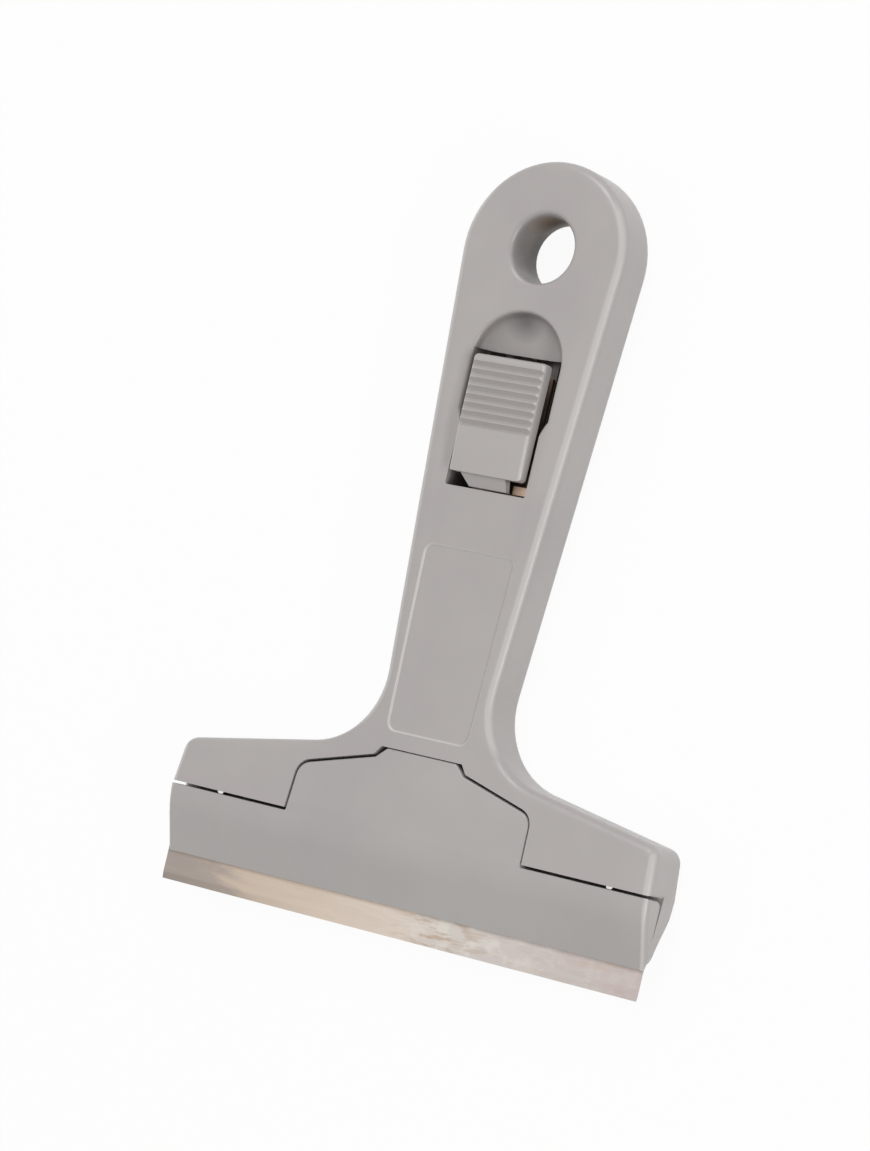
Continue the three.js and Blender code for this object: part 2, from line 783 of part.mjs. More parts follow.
function makeSpring() {
  const last = springTurns * springSteps;
  const rings = Array.from({ length: last + 1 }, (_, step) => (
    Array.from({ length: springSides }, (__, side) => springPoint(step, side))
  ));
  const faces = [];
  for (let step = 0; step < last; step += 1) {
    for (let side = 0; side < springSides; side += 1) {
      const a = step * springSides + side;
      const b = step * springSides + ((side + 1) % springSides);
      faces.push(a, b + springSides, a + springSides, a, b, b + springSides);
    }
  }
  for (let side = 1; side + 1 < springSides; side += 1) {
    const end = last * springSides;
    faces.push(0, side + 1, side);
    faces.push(end, end + side, end + side + 1);
  }
  let leastGap = Infinity;
  for (let step = 0; step + springSteps <= last; step += 1) {
    for (const point of rings[step]) {
      for (const other of rings[step + springSteps]) {
        leastGap = Math.min(leastGap, point.distanceTo(other));
      }
    }
  }
  console.log(`return spring: least gap between curls ${leastGap.toFixed(3)} mm`);
  const geometry = new THREE.BufferGeometry();
  geometry.setFromPoints(rings.flat());
  geometry.setIndex(faces);
  return geometry;
}

// Pins: steel rods that carry the jaw, and stops behind the blade
function makePivot(side) {
  return rodX(pivotRadius, pivotLength, side * shoulderHalfWidth, pivotY, pivotZ);
}

function makeStop(side) {
  return rodZ(stopPinRadius, side * stopPinX, stopPinY, [seatZ - stopPinDepth, seatZ + stopPinRise]);
}

function geometryOf(body) {
  const { vertProperties, triVerts } = body.getMesh();
  const geometry = new THREE.BufferGeometry();
  geometry.setAttribute('position', new THREE.BufferAttribute(vertProperties, 3));
  geometry.setIndex(new THREE.BufferAttribute(triVerts, 1));
  geometry.computeVertexNormals();
  return geometry;
}

const finishes = {
  greyPlastic: { color: 0xafaca8, roughness: 0.55, metalness: 0 },
  buttonPlastic: { color: 0xb5b2ad, roughness: 0.5, metalness: 0 },
  bladeSteel: { color: 0xcfc8bf, roughness: 0.22, metalness: 1 },
  plainSteel: { color: 0xb9b1a6, roughness: 0.35, metalness: 1 },
};

const scraper = new THREE.Group();

function place(name, geometry, finish) {
  const mesh = new THREE.Mesh(geometry, new THREE.MeshStandardMaterial(finishes[finish]));
  mesh.name = name;
  scraper.add(mesh);
}

place('handle', geometryOf(makeHandle()), 'greyPlastic');
place('jaw_cover', geometryOf(makeJaw()), 'greyPlastic');
place('blade', geometryOf(makeBlade()), 'bladeSteel');
place('slide_button', geometryOf(makeButton()), 'buttonPlastic');
place('ramp_strip', geometryOf(makeStrip()), 'plainSteel');
place('return_spring', makeSpring(), 'plainSteel');
place('pivot_pin_left', geometryOf(makePivot(-1)), 'plainSteel');
place('pivot_pin_right', geometryOf(makePivot(1)), 'plainSteel');
place('blade_stop_left', geometryOf(makeStop(-1)), 'plainSteel');
place('blade_stop_right', geometryOf(makeStop(1)), 'plainSteel');

scraper.position.y = -overallLength / 2;

export default scraper;
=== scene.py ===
# %% [markdown]
# # A window scraper, dressed for a studio picture
#
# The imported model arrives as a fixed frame: bare solids, already in metres and already in place.
# This lesson gives every solid soft edges and a believable finish, then lights it and sets the
# camera where the photographer stood. Nothing is moved, so the joints keep working.

# %% Load the frame
import json
import math
import bmesh
import bpy
from mathutils import Matrix, Vector


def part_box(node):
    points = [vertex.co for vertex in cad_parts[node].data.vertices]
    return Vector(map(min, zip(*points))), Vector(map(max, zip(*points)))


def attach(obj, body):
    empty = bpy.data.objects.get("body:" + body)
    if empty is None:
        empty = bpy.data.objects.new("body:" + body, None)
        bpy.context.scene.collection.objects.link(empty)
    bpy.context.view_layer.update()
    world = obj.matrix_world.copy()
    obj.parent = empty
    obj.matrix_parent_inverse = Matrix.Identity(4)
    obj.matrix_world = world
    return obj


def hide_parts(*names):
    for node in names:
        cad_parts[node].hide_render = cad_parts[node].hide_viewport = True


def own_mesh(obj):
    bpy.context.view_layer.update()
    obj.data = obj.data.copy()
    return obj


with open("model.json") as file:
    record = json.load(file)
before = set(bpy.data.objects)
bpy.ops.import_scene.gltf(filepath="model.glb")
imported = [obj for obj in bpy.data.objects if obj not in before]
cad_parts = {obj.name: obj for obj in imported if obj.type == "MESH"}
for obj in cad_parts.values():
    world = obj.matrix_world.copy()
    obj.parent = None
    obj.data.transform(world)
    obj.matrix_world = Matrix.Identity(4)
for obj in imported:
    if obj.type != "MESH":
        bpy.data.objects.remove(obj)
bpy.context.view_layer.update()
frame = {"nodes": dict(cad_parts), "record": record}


print("nodes:", ", ".join(sorted(frame["nodes"])))

# %% [markdown]
# ## The camera
#
# The scraper lies on its back, and the photograph looks down on it from the right with a long
# lens. A camera could be aimed with a Track To constraint, but that leaves its roll to chance.
# Here the three axes of the view were measured against the photograph's own corners, so they
# go straight into a matrix: its columns are right, up and backwards.

# %% Set the camera
PHOTO_WIDTH, PHOTO_HEIGHT = 870, 1151
FOCAL_PIXELS = 3919.5
SENSOR_MM = 36
VIEW_RIGHT = Vector((0.8312, 0.2303, -0.5060))
VIEW_BACK = Vector((0.5300, -0.0532, 0.8464))
CAMERA_PLACE = Vector((0.3580, -0.0429, 0.5911))


def set_camera():
    data = bpy.data.cameras.new("studio_camera")
    data.sensor_fit = "VERTICAL"
    data.sensor_height = SENSOR_MM
    data.lens = SENSOR_MM * FOCAL_PIXELS / PHOTO_HEIGHT
    data.clip_start = 0.01
    camera = bpy.data.objects.new("studio_camera", data)
    back = VIEW_BACK.normalized()
    right = (VIEW_RIGHT - back * VIEW_RIGHT.dot(back)).normalized()
    turn = Matrix((right, back.cross(right), back)).transposed().to_4x4()
    camera.matrix_world = Matrix.Translation(CAMERA_PLACE) @ turn
    bpy.context.scene.collection.objects.link(camera)
    bpy.context.scene.camera = camera
    print("lens:", round(data.lens, 1), "mm, picture", PHOTO_WIDTH, "by", PHOTO_HEIGHT)


set_camera()

# %% [markdown]
# ## A small kit for finishes
#
# Every finish is a node tree. Adding nodes one by one takes many lines, so one helper adds a
# node and fills its sockets: a plain value is typed in, and another node's output is linked.

# %% Node helpers
def start_finish(name):
    finish = bpy.data.materials.new(name)
    finish.use_nodes = True
    tree = finish.node_tree
    return finish, tree, tree.nodes["Principled BSDF"]


def put(tree, value, socket):
    if isinstance(value, bpy.types.NodeSocket):
        tree.links.new(value, socket)
    else:
        socket.default_value = value


def add(tree, kind, settings=None, **sockets):
    node = tree.nodes.new(kind)
    for key, value in (settings or {}).items():
        setattr(node, key, value)
    for key, value in sockets.items():
        put(tree, value, node.inputs[key.replace("_", " ")])
    return node


def connect(tree, shader, colour, gloss, bump):
    put(tree, colour, shader.inputs["Base Color"])
    put(tree, gloss, shader.inputs["Roughness"])
    put(tree, bump.outputs["Normal"], shader.inputs["Normal"])


print("node helpers are ready")

# %% [markdown]
# ## Colours and masks
#
# A mask is a number from 0 to 1 that says where a colour goes. Map Range turns any measure into
# a mask, and Math nodes join masks: a product holds where both do, a maximum where either does.
# Colours are picked as 0 to 255, as a screen shows them, and Blender wants them in linear light.

# %% Colour and mask helpers
def paint(red, green, blue):
    def linear(value):
        share = value / 255
        return share / 12.92 if share <= 0.04045 else ((share + 0.055) / 1.055) ** 2.4
    return (linear(red), linear(green), linear(blue), 1.0)


def blend_colours(tree, amount, first, second):
    mix = add(tree, "ShaderNodeMix", {"data_type": "RGBA"})
    for index, value in ((0, amount), (6, first), (7, second)):
        put(tree, value, mix.inputs[index])
    return mix.outputs[2]


def spread(tree, value, low, high, out_low=0.0, out_high=1.0):
    node = add(tree, "ShaderNodeMapRange", Value=value)
    ends = {"From Min": low, "From Max": high, "To Min": out_low, "To Max": out_high}
    for key, number in ends.items():
        node.inputs[key].default_value = number
    return node.outputs["Result"]


def calculate(tree, operation, *values):
    node = add(tree, "ShaderNodeMath", {"operation": operation})
    for value, socket in zip(values, node.inputs):
        put(tree, value, socket)
    return node.outputs["Value"]


def times(tree, first, second):
    return calculate(tree, "MULTIPLY", first, second)


def larger(tree, first, second):
    return calculate(tree, "MAXIMUM", first, second)


def size_of(tree, value):
    return calculate(tree, "ABSOLUTE", value)


def vector_math(tree, operation, first, second, output="Vector"):
    node = add(tree, "ShaderNodeVectorMath", {"operation": operation})
    put(tree, first, node.inputs[0])
    put(tree, second, node.inputs[1])
    return node.outputs[output]


def axes(tree, vector):
    return add(tree, "ShaderNodeSeparateXYZ", Vector=vector).outputs


print("a mid grey of 128 is", round(paint(128, 128, 128)[0], 3), "in linear light")

# %% [markdown]
# ## Painted highlights on the plastic
#
# The long outer edges are painted paler, a painted highlight along their rounds. Only these have
# a normal that leans from the front to the side, so the normal's parts pick them out, and the
# distance from the middle keeps the mask off the inner edges. The fine rim of the bare label field
# gets a painted highlight as well; it is the only slope inside a small box around the field.

# %% Painted highlight masks
# Painted highlight: a pale colour laid on the rounded long edges and on the label field's rim.
EDGE_HIGHLIGHT_PALE = paint(206, 202, 198)
EDGE_HIGHLIGHT_AMOUNT = 0.70
EDGE_HIGHLIGHT_FADE = 0.0006
LABEL_CENTRE = Vector(frame["record"]["mounts"][1]["pos_m"])
LABEL_HALF = Vector((0.0099, 0.0176, 0.0004))
LABEL_HIGHLIGHT_AMOUNT = 0.9


def surface_lean(tree):
    return axes(tree, add(tree, "ShaderNodeNewGeometry").outputs["Normal"])


# Painted highlight along the long outer rounded edges.
def edge_highlight_mask(tree, place, beyond):
    lean = surface_lean(tree)
    off_side = spread(tree, lean["Z"], 0.40, 0.72)
    off_front = spread(tree, lean["Z"], 0.92, 0.985, 1.0, 0.0)
    sideways = calculate(tree, "SUBTRACT", size_of(tree, lean["X"]), size_of(tree, lean["Y"]))
    long_edge = times(tree, times(tree, off_side, off_front), spread(tree, sideways, 0.02, 0.20))
    across = size_of(tree, axes(tree, place)["X"])
    outer = spread(tree, across, beyond - EDGE_HIGHLIGHT_FADE, beyond, 0.0, EDGE_HIGHLIGHT_AMOUNT)
    return times(tree, long_edge, outer)


# Painted highlight on the label field's fine sloped rim.
def label_rim_highlight(tree, place):
    mask = spread(tree, surface_lean(tree)["Z"], 0.90, 0.98, LABEL_HIGHLIGHT_AMOUNT, 0.0)
    parts = axes(tree, vector_math(tree, "SUBTRACT", place, LABEL_CENTRE))
    for axis, reach in zip("XYZ", LABEL_HALF):
        inside = spread(tree, size_of(tree, parts[axis]), reach, 1.01 * reach, 1.0, 0.0)
        mask = times(tree, mask, inside)
    return mask


print("box around the label field in mm:", [round(2000 * half, 1) for half in LABEL_HALF])

# %% [markdown]
# ## Painted shade in the hollows
#
# Hollows are painted darker, as painted shade where the surface is hidden from the light. Ambient
# occlusion finds them, because it is low where a surface sees mostly itself. Only places below a
# given height count, and the painted shade fades out towards the open ends of the head. A spot of
# painted shade darkens the top of the scoop and another the top of the hang hole, whose wall is
# painted darker towards the back: soft round masks paint them.

# %% Painted shade masks
# Painted shade colours and places: hollows, scoop top, hang hole.
RECESS_SHADE = paint(90, 83, 77)
SCOOP_SHADE_GREY = paint(90, 88, 86)
HOLE_TOP_SHADE_BROWN = paint(138, 122, 110)
SCOOP_SHADE_SPOT = Vector((-0.0010, 0.0407, 0.0080))
SCOOP_SHADE_REACH = 0.0042
SCOOP_SHADE_AMOUNT = 0.74
HOLE_TOP_SHADE_SPOT = Vector((-0.0018, 0.0593, 0.0052))
HOLE_TOP_SHADE_REACH = 0.0066
HOLE_TOP_SHADE_AMOUNT = 0.95
HOLE_CENTRE = Vector((0.0, 0.05365, 0.0))
HOLE_RADIUS = 0.00615
HOLE_SHADE_FULL_Z, HOLE_SHADE_END_Z = 0.0050, 0.0088
HOLE_SHADE_AMOUNT = 0.42
SHADE_HEIGHT_FADE = 0.0008
SHADE_X_FADE_START, SHADE_X_FADE_END = 0.046, 0.048


def below_top(tree, place, top):
    return spread(tree, axes(tree, place)["Z"], top - SHADE_HEIGHT_FADE, top, 1.0, 0.0)


# Painted shade in hollows, found by ambient occlusion below a given height.
def hollow_shade_mask(tree, place, below, reach, amount):
    settings = {"samples": 8, "only_local": True}
    open_sky = add(tree, "ShaderNodeAmbientOcclusion", settings, Distance=reach).outputs["AO"]
    across = size_of(tree, axes(tree, place)["X"])
    inner = times(tree, below, spread(tree, across, SHADE_X_FADE_START, SHADE_X_FADE_END, 1.0, 0.0))
    return times(tree, spread(tree, open_sky, 0.45, 0.95, amount, 0.0), inner)


# Painted shade: a soft round dark spot around a given centre.
def shade_spot(tree, place, below, centre, reach, amount):
    away = vector_math(tree, "DISTANCE", place, centre, "Value")
    return times(tree, spread(tree, away, 0.15 * reach, reach, amount, 0.0), below)


# Painted shade on the hang hole's wall, darker towards the back.
def hole_wall_shade(tree, place):
    flat = vector_math(tree, "MULTIPLY", place, (1.0, 1.0, 0.0))
    away = vector_math(tree, "DISTANCE", flat, HOLE_CENTRE, "Value")
    inside = spread(tree, away, HOLE_RADIUS + 0.0002, HOLE_RADIUS + 0.0009, 1.0, 0.0)
    height = axes(tree, place)["Z"]
    return times(tree, inside, spread(tree, height, HOLE_SHADE_FULL_Z, HOLE_SHADE_END_Z, HOLE_SHADE_AMOUNT, 0.0))


print("hang hole:", round(2000 * HOLE_RADIUS, 1), "mm across")

# %% [markdown]
# ## Moulded plastic
#
# The grip, the jaw and the button are satin moulded plastic, a warm grey. A flat grey would look
# like a drawing, so four layers of noise share the work: a broad one shifts the colour a little,
# as flow in the mould does; a second one changes the gloss; a third scatters dust; the finest is
# the spark texture of the mould, and goes into the bump. Painted highlights and painted shade are
# laid over that colour, and the painted shade at the top of the hang hole is matte as well.

# %% Plastic finish
FRONT_Z = 0.0095
BUTTON_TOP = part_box("slide_button")[1].z
PLASTIC_SPECULAR = 0.55


def plastic_tone(tree, place, light, deep):
    flow = add(tree, "ShaderNodeTexNoise", Vector=place, Scale=45.0, Detail=3.0, Roughness=0.55)
    speck = add(tree, "ShaderNodeTexNoise", Vector=place, Scale=1500.0, Detail=1.0)
    tone = blend_colours(tree, spread(tree, flow.outputs["Fac"], 0.35, 0.65), deep, light)
    dust = spread(tree, speck.outputs["Fac"], 0.70, 0.80, 0.0, 0.25)
    return blend_colours(tree, dust, tone, deep)


def moulded_plastic(name, light, deep, roughness, hollow_shade, highlight_beyond):
    shade_reach, shade_top, shade_amount = hollow_shade
    finish, tree, shader = start_finish(name)
    place = add(tree, "ShaderNodeTexCoord").outputs["Object"]
    patch = add(tree, "ShaderNodeTexNoise", Vector=place, Scale=420.0, Detail=2.0, Roughness=0.5)
    spark = add(tree, "ShaderNodeTexNoise", Vector=place, Scale=3800.0, Detail=2.0, Roughness=0.6)
    below = below_top(tree, place, shade_top)
    # Painted shade at the top of the hang hole, which is also made matte there.
    hole_top_shade = shade_spot(tree, place, below, HOLE_TOP_SHADE_SPOT, HOLE_TOP_SHADE_REACH, HOLE_TOP_SHADE_AMOUNT)
    # Over the tone: painted highlights on edges and the label rim, then painted shade in hollows
    # and spots.
    layers = (
        (edge_highlight_mask(tree, place, highlight_beyond), EDGE_HIGHLIGHT_PALE),
        (label_rim_highlight(tree, place), EDGE_HIGHLIGHT_PALE),
        (hollow_shade_mask(tree, place, below, shade_reach, shade_amount), RECESS_SHADE),
        (shade_spot(tree, place, below, SCOOP_SHADE_SPOT, SCOOP_SHADE_REACH, SCOOP_SHADE_AMOUNT), SCOOP_SHADE_GREY),
        (hole_wall_shade(tree, place), RECESS_SHADE),
        (hole_top_shade, HOLE_TOP_SHADE_BROWN),
    )
    colour = plastic_tone(tree, place, light, deep)
    for mask, layer_colour in layers:
        colour = blend_colours(tree, mask, colour, layer_colour)
    clean_gloss = spread(tree, patch.outputs["Fac"], 0.3, 0.7, roughness - 0.05, roughness + 0.05)
    bump = add(tree, "ShaderNodeBump", Strength=0.12, Distance=0.00004, Height=spark.outputs["Fac"])
    connect(tree, shader, colour, larger(tree, clean_gloss, hole_top_shade), bump)
    shader.inputs["Specular IOR Level"].default_value = PLASTIC_SPECULAR
    return finish


grip_plastic = moulded_plastic(
    "grip_plastic", paint(180, 175, 173), paint(174, 169, 168), 0.34,
    hollow_shade=(0.012, FRONT_Z, 0.92), highlight_beyond=0.0100,
)
jaw_plastic = moulded_plastic(
    "jaw_plastic", paint(179, 175, 173), paint(173, 169, 168), 0.34,
    hollow_shade=(0.012, FRONT_Z, 0.92), highlight_beyond=0.0470,
)
button_plastic = moulded_plastic(
    "button_plastic", paint(181, 176, 174), paint(175, 170, 168), 0.38,
    hollow_shade=(0.0009, BUTTON_TOP, 0.85), highlight_beyond=0.0064,
)
print("plastics:", grip_plastic.name, jaw_plastic.name, button_plastic.name)

# %% [markdown]
# ## The blade's painted reflection
#
# The blade is thin rolled steel, wiped by many hands. A mirror this plain would show only the
# white studio, so a painted reflection of warmer surroundings goes into its colour and follows
# the blade's length: dull at the left end, cream in the middle, cool at the right. A slanted noise
# bends that painted reflection into warm smears, as a hand wiping the steel would. Stretching a
# noise with a Mapping node is the quickest way to such streaks.

# %% Blade's painted reflection
# Painted reflection: these colours along the blade stand in for the surroundings it mirrors.
BLADE_REFLECTION_TINTS = [
    (0.00, (161, 152, 146)), (0.11, (168, 157, 149)), (0.19, (198, 182, 167)),
    (0.50, (214, 201, 190)), (0.64, (206, 200, 196)), (1.00, (194, 182, 181)),
]
SMEAR_TAN = paint(196, 178, 160)
SMEAR_SHIFT = 0.10


def stretched_noise(tree, place, degrees, stretch, **noise):
    turn = (0.0, 0.0, math.radians(degrees))
    turned = add(tree, "ShaderNodeMapping", Vector=place, Rotation=turn, Scale=stretch)
    return add(tree, "ShaderNodeTexNoise", Vector=turned.outputs["Vector"], **noise).outputs["Fac"]


def tint_ramp(tree, amount, tints):
    node = add(tree, "ShaderNodeValToRGB", Fac=amount)
    stops = node.color_ramp.elements
    for stop, (place, colour) in enumerate(tints):
        element = stops[stop] if stop < 2 else stops.new(place)
        element.position = place
        element.color = paint(*colour)
    return node.outputs["Color"]


def blade_reflection_tint(tree, along, smears):
    wander = spread(tree, smears, 0.25, 0.75, -SMEAR_SHIFT, SMEAR_SHIFT)
    tint = tint_ramp(tree, calculate(tree, "ADD", along, wander), BLADE_REFLECTION_TINTS)
    wiped = spread(tree, smears, 0.56, 0.74, 0.0, 0.55)
    return blend_colours(tree, wiped, tint, SMEAR_TAN)


print("blade tints:", len(BLADE_REFLECTION_TINTS))

# %% [markdown]
# ## The blade's marks
#
# Brush marks and pale blotches lie on the blade's right half. A line of painted shadow follows the
# jaw's lip, where the lip shades the blade, and the ground edge is duller, most of all at the left
# end.
# Rolling leaves fine lines along the whole length, in the colour and in the bump.

# %% Blade finish
BLOTCH_PALE = paint(222, 219, 212)
BRUSH_BROWN = paint(180, 158, 138)
ROLLED_GREY = paint(176, 168, 160)
LIP_SHADOW_BROWN = paint(128, 116, 106)
GROUND_GREY = paint(96, 88, 82)
LIP_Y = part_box("jaw_cover")[0].y
GRIND = 0.0012


def blade_marks(tree, place, along, colour):
    mottle = add(tree, "ShaderNodeTexNoise", Vector=place, Scale=340.0, Detail=5.0, Roughness=0.6)
    brush = stretched_noise(
        tree, place, 32, (150.0, 900.0, 1.0), Scale=1.0, Detail=4.0, Roughness=0.65,
    )
    right_half = spread(tree, along, 0.48, 0.58)
    rubbed = times(tree, right_half, spread(tree, along, 0.70, 0.95, 1.0, 0.3))
    blotch = times(tree, rubbed, spread(tree, mottle.outputs["Fac"], 0.48, 0.60, 0.0, 0.50))
    brushed = times(tree, right_half, spread(tree, brush, 0.50, 0.60, 0.0, 0.85))
    faded = times(tree, brushed, spread(tree, along, 0.58, 0.74, 1.0, 0.2))
    mottled = blend_colours(tree, blotch, colour, BLOTCH_PALE)
    return blend_colours(tree, faded, mottled, BRUSH_BROWN)


def blade_lip_shadow_and_ground(tree, up, along, edge_y, colour):
    # Painted shadow: a brown line on the blade just below the jaw's lip.
    below_lip = spread(tree, up, LIP_Y - 0.0007, LIP_Y, 0.0, 0.55)
    lip_shadow_line = times(tree, below_lip, spread(tree, up, LIP_Y + 0.0004, LIP_Y + 0.0012, 1.0, 0.0))
    lip_shaded = blend_colours(tree, lip_shadow_line, colour, LIP_SHADOW_BROWN)
    ground = spread(tree, up, edge_y + 0.9 * GRIND, edge_y + 1.1 * GRIND, 0.45, 0.0)
    dulled = times(tree, ground, spread(tree, along, 0.0, 0.35, 1.0, 0.36))
    return blend_colours(tree, dulled, lip_shaded, GROUND_GREY)


def blade_steel(low, high):
    finish, tree, shader = start_finish("blade_steel")
    place = add(tree, "ShaderNodeTexCoord").outputs["Object"]
    lines = stretched_noise(tree, place, 0, (6.0, 900.0, 900.0), Scale=8.0, Detail=4.0)
    smears = stretched_noise(
        tree, place, 24, (70.0, 420.0, 1.0), Scale=1.0, Detail=5.0, Roughness=0.62, Distortion=0.6,
    )
    parts = axes(tree, place)
    along = spread(tree, parts["X"], low.x, high.x)
    marked = blade_marks(tree, place, along, blade_reflection_tint(tree, along, smears))
    rolled = blend_colours(tree, spread(tree, lines, 0.40, 0.75, 0.0, 0.16), marked, ROLLED_GREY)
    colour = blade_lip_shadow_and_ground(tree, parts["Y"], along, low.y, rolled)
    gloss = spread(tree, smears, 0.3, 0.7, 0.24, 0.36)
    bump = add(tree, "ShaderNodeBump", Strength=0.08, Distance=0.00003, Height=lines)
    connect(tree, shader, colour, gloss, bump)
    shader.inputs["Metallic"].default_value = 1.0
    return finish


steel_of_blade = blade_steel(*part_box("blade"))
print("steel:", steel_of_blade.name)

# %% [markdown]
# ## Plain steel
#
# The strip under the button, the pivots and the spring are plain drawn steel. The two stops in
# the seam are rubbed bright by every new blade. One recipe does for all: a fine grain in the
# bump and cloudy tarnish in the tone, with other colours and another gloss. The strip is tan, and
# below its bent-up lug it is painted dark brown, as painted shade deep under the button; the pins
# and the spring get a little of it. Height alone tells the two apart, so a Map Range on Z is
# enough.

# %% Plain steel finishes
LUG_THICKNESS = 0.0008
LUG_TOP_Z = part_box("ramp_strip")[1].z
LOW_SHADE_BROWN = paint(58, 40, 34)


def plain_steel(name, light, deep, roughness, low_shade_amount):
    finish, tree, shader = start_finish(name)
    place = add(tree, "ShaderNodeTexCoord").outputs["Object"]
    cloud = add(tree, "ShaderNodeTexNoise", Vector=place, Scale=260.0, Detail=4.0, Roughness=0.6)
    grain = add(tree, "ShaderNodeTexNoise", Vector=place, Scale=2600.0, Detail=2.0)
    clean = blend_colours(tree, spread(tree, cloud.outputs["Fac"], 0.35, 0.7), light, deep)
    # Painted shade: below the lug's underside the steel turns dark brown.
    low_shade_line = LUG_TOP_Z - LUG_THICKNESS
    height = axes(tree, place)["Z"]
    low_shade = spread(tree, height, low_shade_line - LUG_THICKNESS, low_shade_line, low_shade_amount, 0.0)
    colour = blend_colours(tree, low_shade, clean, LOW_SHADE_BROWN)
    gloss = spread(tree, cloud.outputs["Fac"], 0.3, 0.7, 0.8 * roughness, 1.2 * roughness)
    bump = add(tree, "ShaderNodeBump", Strength=0.15, Distance=0.00003, Height=grain.outputs["Fac"])
    connect(tree, shader, colour, gloss, bump)
    shader.inputs["Metallic"].default_value = 1.0
    return finish


shaded_strip_steel = plain_steel("shaded_strip_steel", paint(222, 198, 177), paint(208, 183, 162), 0.50, 0.68)
drawn_steel = plain_steel("drawn_steel", paint(198, 190, 180), paint(176, 166, 154), 0.35, 0.1)
rubbed_steel = plain_steel("rubbed_steel", paint(240, 239, 237), paint(226, 224, 221), 0.10, 0.0)
print("steels:", shaded_strip_steel.name, drawn_steel.name, rubbed_steel.name)

# %% [markdown]
# ## Dressing a solid
#
# A CAD solid arrives as loose triangles with hard facets. Its copy is welded, its flat faces are
# merged, and its sharp edges are broken with a small bevel, because no moulded or ground edge is
# perfectly sharp and the thin highlight along it is what the eye reads as real. The copy stands
# for the solid, which stays hidden for the simulation.

# %% Dress the plastic pieces
WELD_M = 2e-6
FLAT_DEGREES = 0.4
SHARP_DEGREES = 32
BEVEL_SEGMENTS = 3


def clean_copy(node):
    sides = bmesh.new()
    sides.from_mesh(frame["nodes"][node].data)
    bmesh.ops.remove_doubles(sides, verts=sides.verts, dist=WELD_M)
    bmesh.ops.dissolve_limit(
        sides, angle_limit=math.radians(FLAT_DEGREES), verts=sides.verts, edges=sides.edges,
    )
    for face in sides.faces:
        face.smooth = True
    mesh = bpy.data.meshes.new(node + "_skin")
    sides.to_mesh(mesh)
    sides.free()
    mesh.set_sharp_from_angle(angle=math.radians(SHARP_DEGREES))
    return mesh


def break_edges(piece, edge_mm):
    bevel = piece.modifiers.new("broken_edges", "BEVEL")
    bevel.width = edge_mm / 1000
    bevel.segments = BEVEL_SEGMENTS
    bevel.limit_method = "ANGLE"
    bevel.angle_limit = math.radians(SHARP_DEGREES)
    bevel.use_clamp_overlap = True
    bevel.miter_outer = "MITER_ARC"
    bevel.harden_normals = True


def dress(node, body, finish, edge_mm=0.0):
    mesh = clean_copy(node)
    mesh.materials.append(finish)
    piece = bpy.data.objects.new(node + "_skin", mesh)
    bpy.context.scene.collection.objects.link(piece)
    if edge_mm:
        break_edges(piece, edge_mm)
    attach(piece, body)
    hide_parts(node)
    print(piece.name, len(mesh.polygons), "faces")
    return piece


dress("handle", "body", grip_plastic, 0.12)
dress("jaw_cover", "jaw", jaw_plastic, 0.12)
button_skin = dress("slide_button", "slider", button_plastic, 0.10)

# %% [markdown]
# ## Softer ribs
#
# The solid's thumb ribs are plain round grooves, which leave knife edges between them. On the
# moulded button the crests are full and the valleys narrow. So each vertex inside a groove is
# lifted: its share of the depth is raised to a power of a little over two, which hardly moves the
# bottom and fills the flanks. Where a groove runs out over the rounded side, the vertex slides
# inwards to stay on that round.

# %% Soften the ribs
RIB_DEPTH = 0.00058
RIB_DEPTH_LEFT = 0.00056
RIB_POWER = 2.2
RIB_SPAN = (0.00134, 0.01317)
RIB_SHALLOWEST = 0.00003
RIB_SLACK = 0.00001
SIDE_ROUND = 0.0008


def soften_ribs(piece):
    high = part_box("slide_button")[1]
    flank = high.x - SIDE_ROUND
    moved = 0
    for vertex in piece.data.vertices:
        depth = high.z - vertex.co.z
        ribbed = RIB_SPAN[0] < high.y - vertex.co.y < RIB_SPAN[1]
        if not ribbed or not RIB_SHALLOWEST < depth < RIB_DEPTH + RIB_SLACK:
            continue
        lifted = RIB_DEPTH_LEFT * (depth / RIB_DEPTH) ** RIB_POWER
        vertex.co.z = high.z - lifted
        if abs(vertex.co.x) > flank:
            sideways = math.sqrt(SIDE_ROUND ** 2 - (SIDE_ROUND - lifted) ** 2)
            vertex.co.x = math.copysign(flank + sideways, vertex.co.x)
        moved += 1
    piece.data.set_sharp_from_angle(angle=math.radians(SHARP_DEGREES))
    print("rib vertices lifted:", moved)


soften_ribs(button_skin)

# %% [markdown]
# ## The steel pieces
#
# The same dress does for the steel. The blade is ground sharp and the spring is round wire, so
# these two get no bevel. The pins and the stops come in pairs, left and right, so a loop dresses
# both sides alike.

# %% Dress the steel pieces
dress("blade", "blade", steel_of_blade)
dress("ramp_strip", "slider", shaded_strip_steel, 0.06)
for side in ("left", "right"):
    dress("pivot_pin_" + side, "body", drawn_steel, 0.08)
    dress("blade_stop_" + side, "body", rubbed_steel, 0.08)
spring_skin = dress("return_spring", "body", drawn_steel)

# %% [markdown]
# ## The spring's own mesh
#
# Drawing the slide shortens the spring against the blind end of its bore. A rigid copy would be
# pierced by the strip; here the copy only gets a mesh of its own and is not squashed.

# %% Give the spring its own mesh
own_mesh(spring_skin)

# %% [markdown]
# ## The floor
#
# The photograph has a white ground. A brighter lamp would whiten the floor but burn out the
# object, so the floor is white paint that also glows for camera, glossy and transmitted rays. It
# looks white, the steel mirrors it, and it still takes the object's shadow.

# %% Floor
FLOOR_SIZE = 60
FLOOR_Z = -0.0003
FLOOR_GREY = (0.90, 0.90, 0.90, 1)
FLOOR_GLOW = 0.94


def seen_or_mirrored(tree):
    path = add(tree, "ShaderNodeLightPath").outputs
    mirrored = larger(tree, path["Is Glossy Ray"], path["Is Transmission Ray"])
    return larger(tree, path["Is Camera Ray"], mirrored)


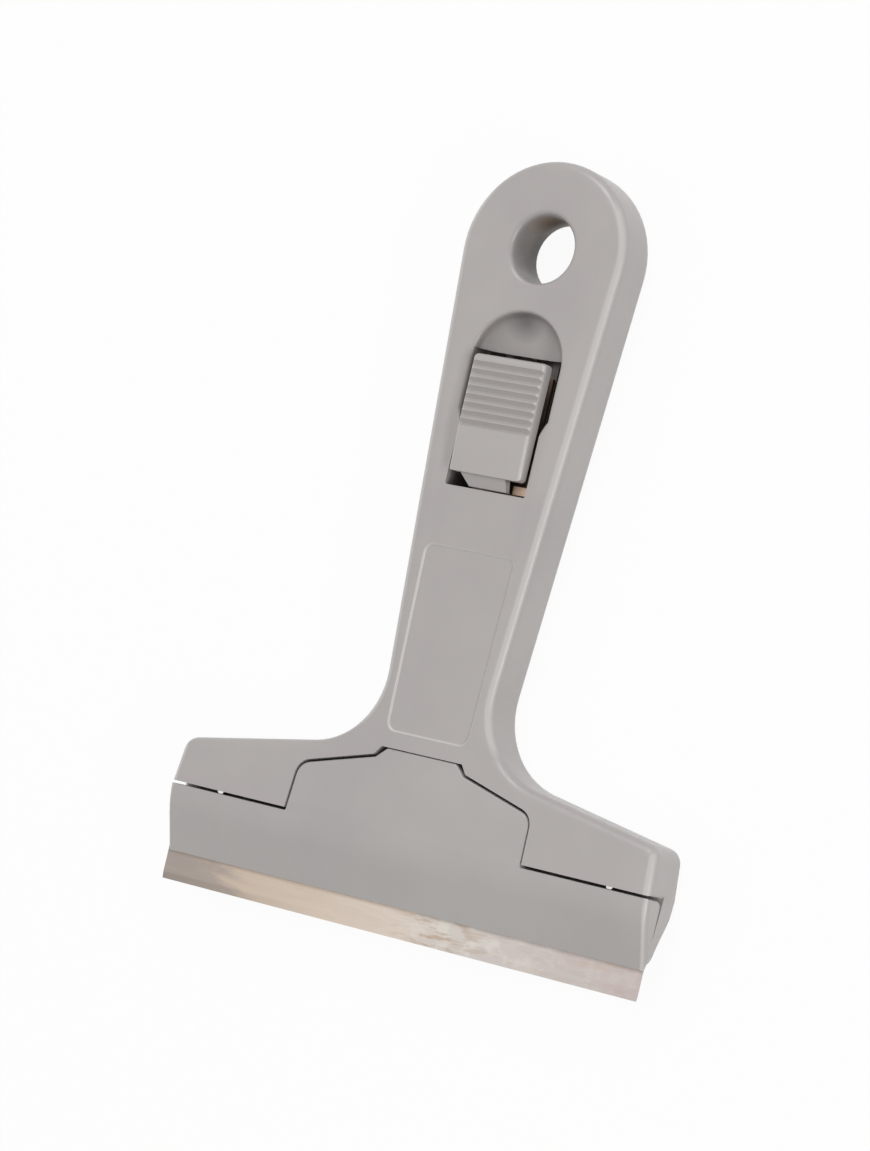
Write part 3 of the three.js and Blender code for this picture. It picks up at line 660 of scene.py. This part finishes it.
def white_floor():
    bpy.ops.mesh.primitive_plane_add(size=FLOOR_SIZE, location=(0, 0, FLOOR_Z))
    floor = bpy.context.object
    floor.name = "studio_floor"
    finish, tree, shader = start_finish("floor_paint")
    shader.inputs["Base Color"].default_value = FLOOR_GREY
    shader.inputs["Roughness"].default_value = 0.9
    glow = add(tree, "ShaderNodeEmission", Color=(1, 1, 1, 1), Strength=1.0)
    share = spread(tree, seen_or_mirrored(tree), 0.0, 1.0, 0.0, FLOOR_GLOW)
    mix = add(tree, "ShaderNodeMixShader", Fac=share)
    put(tree, shader.outputs[0], mix.inputs[1])
    put(tree, glow.outputs[0], mix.inputs[2])
    put(tree, mix.outputs[0], tree.nodes["Material Output"].inputs["Surface"])
    floor.data.materials.append(finish)
    print("floor:", FLOOR_SIZE, "m wide")


white_floor()

# %% [markdown]
# ## Lamps and sky
#
# The sky is white where it is seen or mirrored, so the steel shows a white studio, but it lights
# the object only faintly. Four soft lamps do the rest. The widest hangs over the left side and is
# hidden from mirrors, where it would burn out the blade. Two shape the grip from the top and the
# low end, and a long strip on the right draws the thin highlights along the rounded edges.

# %% Lamps and sky
SKY_WHITE = (1.0, 0.99, 0.975, 1)
SKY_LIGHT = 0.31


def soft_lamp(name, place, size, power, mirrored=True):
    data = bpy.data.lights.new(name, "AREA")
    data.shape = "ELLIPSE"
    data.size, data.size_y = size
    data.energy = power
    lamp = bpy.data.objects.new(name, data)
    lamp.location = place
    lamp.visible_glossy = mirrored
    lamp.rotation_euler = (-Vector(place)).to_track_quat("-Z", "Y").to_euler()
    bpy.context.scene.collection.objects.link(lamp)


def pale_sky():
    world = bpy.data.worlds.new("pale_sky")
    world.use_nodes = True
    tree = world.node_tree
    sky = tree.nodes["Background"]
    sky.inputs["Color"].default_value = SKY_WHITE
    strength = spread(tree, seen_or_mirrored(tree), 0.0, 1.0, SKY_LIGHT, 1.0)
    put(tree, strength, sky.inputs["Strength"])
    bpy.context.scene.world = world


soft_lamp("sheet_lamp", (-0.64, 0.06, 1.02), (1.6, 1.6), 5.4, mirrored=False)
soft_lamp("top_lamp", (0.0, 0.96, 0.72), (0.6, 0.6), 4.4)
soft_lamp("right_lamp", (0.98, -0.22, 0.53), (0.9, 0.2), 4.6)
soft_lamp("low_lamp", (-0.72, -0.58, 0.66), (0.8, 0.8), 0.5)
pale_sky()
bpy.context.scene.view_settings.view_transform = "Standard"
print("lamps lit:", len(bpy.data.lights))
